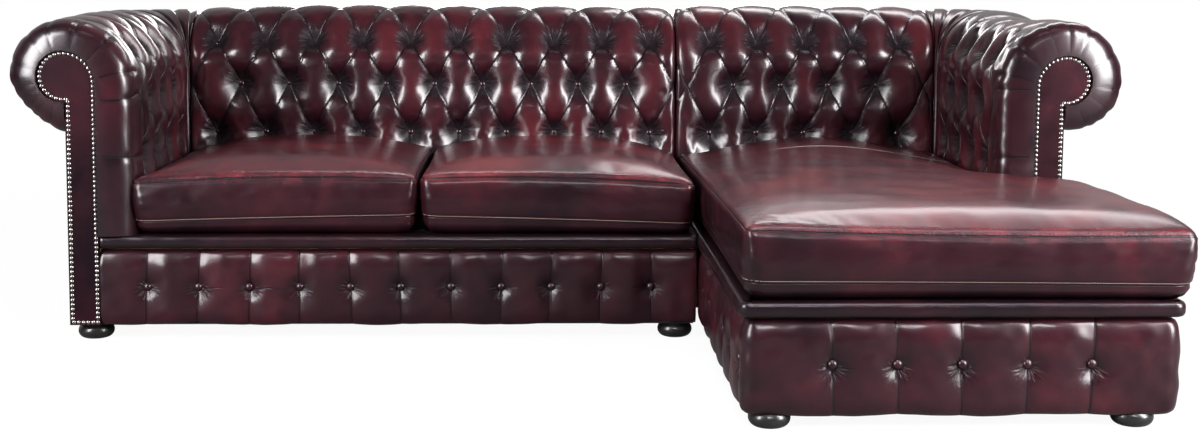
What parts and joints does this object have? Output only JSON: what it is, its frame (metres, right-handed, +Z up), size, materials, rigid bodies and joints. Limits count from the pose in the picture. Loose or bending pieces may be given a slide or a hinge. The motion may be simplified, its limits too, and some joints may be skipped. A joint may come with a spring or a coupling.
{
  "type": "chesterfield corner sofa",
  "caption": "Deep-buttoned leather corner sofa with rolled arms and back, nailed scroll facings, loose seat cushions, bun feet and a chaise module that hooks on beside the sofa module.",
  "frame": {"origin": "bottom centre of the whole sofa's box, on the floor", "axes": "+X along the width towards the chaise, +Y to the back, +Z up"},
  "size_m": [2.72, 1.75, 0.7852],
  "materials": {
    "leather": "antique two-tone, glossy",
    "button_leather": "antique, glossy",
    "timber": "sawn hardwood",
    "foam": "open-cell foam",
    "deck_cloth": "platform cloth",
    "dust_cloth": "non-woven",
    "black_foot": "black gloss",
    "nail": "pewter",
    "steel": "bright",
    "zip": "nylon coil"
  },
  "bodies": {
    "sofa_module": {"sofa_arm_facing": "leather", "sofa_arm_frame": "timber", "sofa_back_frame": "timber", "sofa_base_buttons": "button_leather", "sofa_base_panel": "leather", "sofa_corner_pad": "leather", "sofa_dust_cover": "dust_cloth", "sofa_facing_nails": "nail", "sofa_feet": "black_foot", "sofa_foot_bolts": "steel", "sofa_front_lip": "leather", "sofa_glue_blocks": "timber", "sofa_inside_arm": "leather", "sofa_inside_back": "leather", "sofa_module_hooks": "steel", "sofa_outside_arm": "leather", "sofa_outside_back": "leather", "sofa_roll_rails": "timber", "sofa_seat_deck": "deck_cloth", "sofa_seat_rails": "timber", "sofa_spring_clips": "steel", "sofa_springs": "steel", "sofa_tuft_buttons": "button_leather"},
    "chaise_module": {"chaise_arm_facing": "leather", "chaise_arm_frame": "timber", "chaise_back_frame": "timber", "chaise_base_buttons": "button_leather", "chaise_base_panels": "leather", "chaise_corner_pad": "leather", "chaise_dust_cover": "dust_cloth", "chaise_facing_nails": "nail", "chaise_feet": "black_foot", "chaise_foot_bolts": "steel", "chaise_front_lip": "leather", "chaise_glue_blocks": "timber", "chaise_inside_arm": "leather", "chaise_inside_back": "leather", "chaise_module_hooks": "steel", "chaise_outside_arm": "leather", "chaise_outside_back": "leather", "chaise_roll_rails": "timber", "chaise_seat_deck": "deck_cloth", "chaise_seat_rails": "timber", "chaise_spring_clips": "steel", "chaise_springs": "steel", "chaise_tuft_buttons": "button_leather"},
    "left_cushion": {"left_cushion_core": "foam", "left_cushion_cover": "leather", "left_cushion_zip": "zip"},
    "right_cushion": {"right_cushion_core": "foam", "right_cushion_cover": "leather", "right_cushion_zip": "zip"},
    "chaise_cushion": {"chaise_cushion_core": "foam", "chaise_cushion_cover": "leather", "chaise_cushion_zip": "zip"}
  },
  "joints": [
    {"name": "chaise_unhook", "type": "slide", "parent": "sofa_module", "child": "chaise_module", "axis": [0, 0, 1], "range_m": [0, 0.05]},
    {"name": "left_cushion_lift", "type": "slide", "parent": "sofa_module", "child": "left_cushion", "axis": [0, 0, 1], "range_m": [0, 0.55]},
    {"name": "right_cushion_lift", "type": "slide", "parent": "sofa_module", "child": "right_cushion", "axis": [0, 0, 1], "range_m": [0, 0.55]},
    {"name": "chaise_cushion_lift", "type": "slide", "parent": "chaise_module", "child": "chaise_cushion", "axis": [0, 0, 1], "range_m": [0, 0.55]}
  ]
}
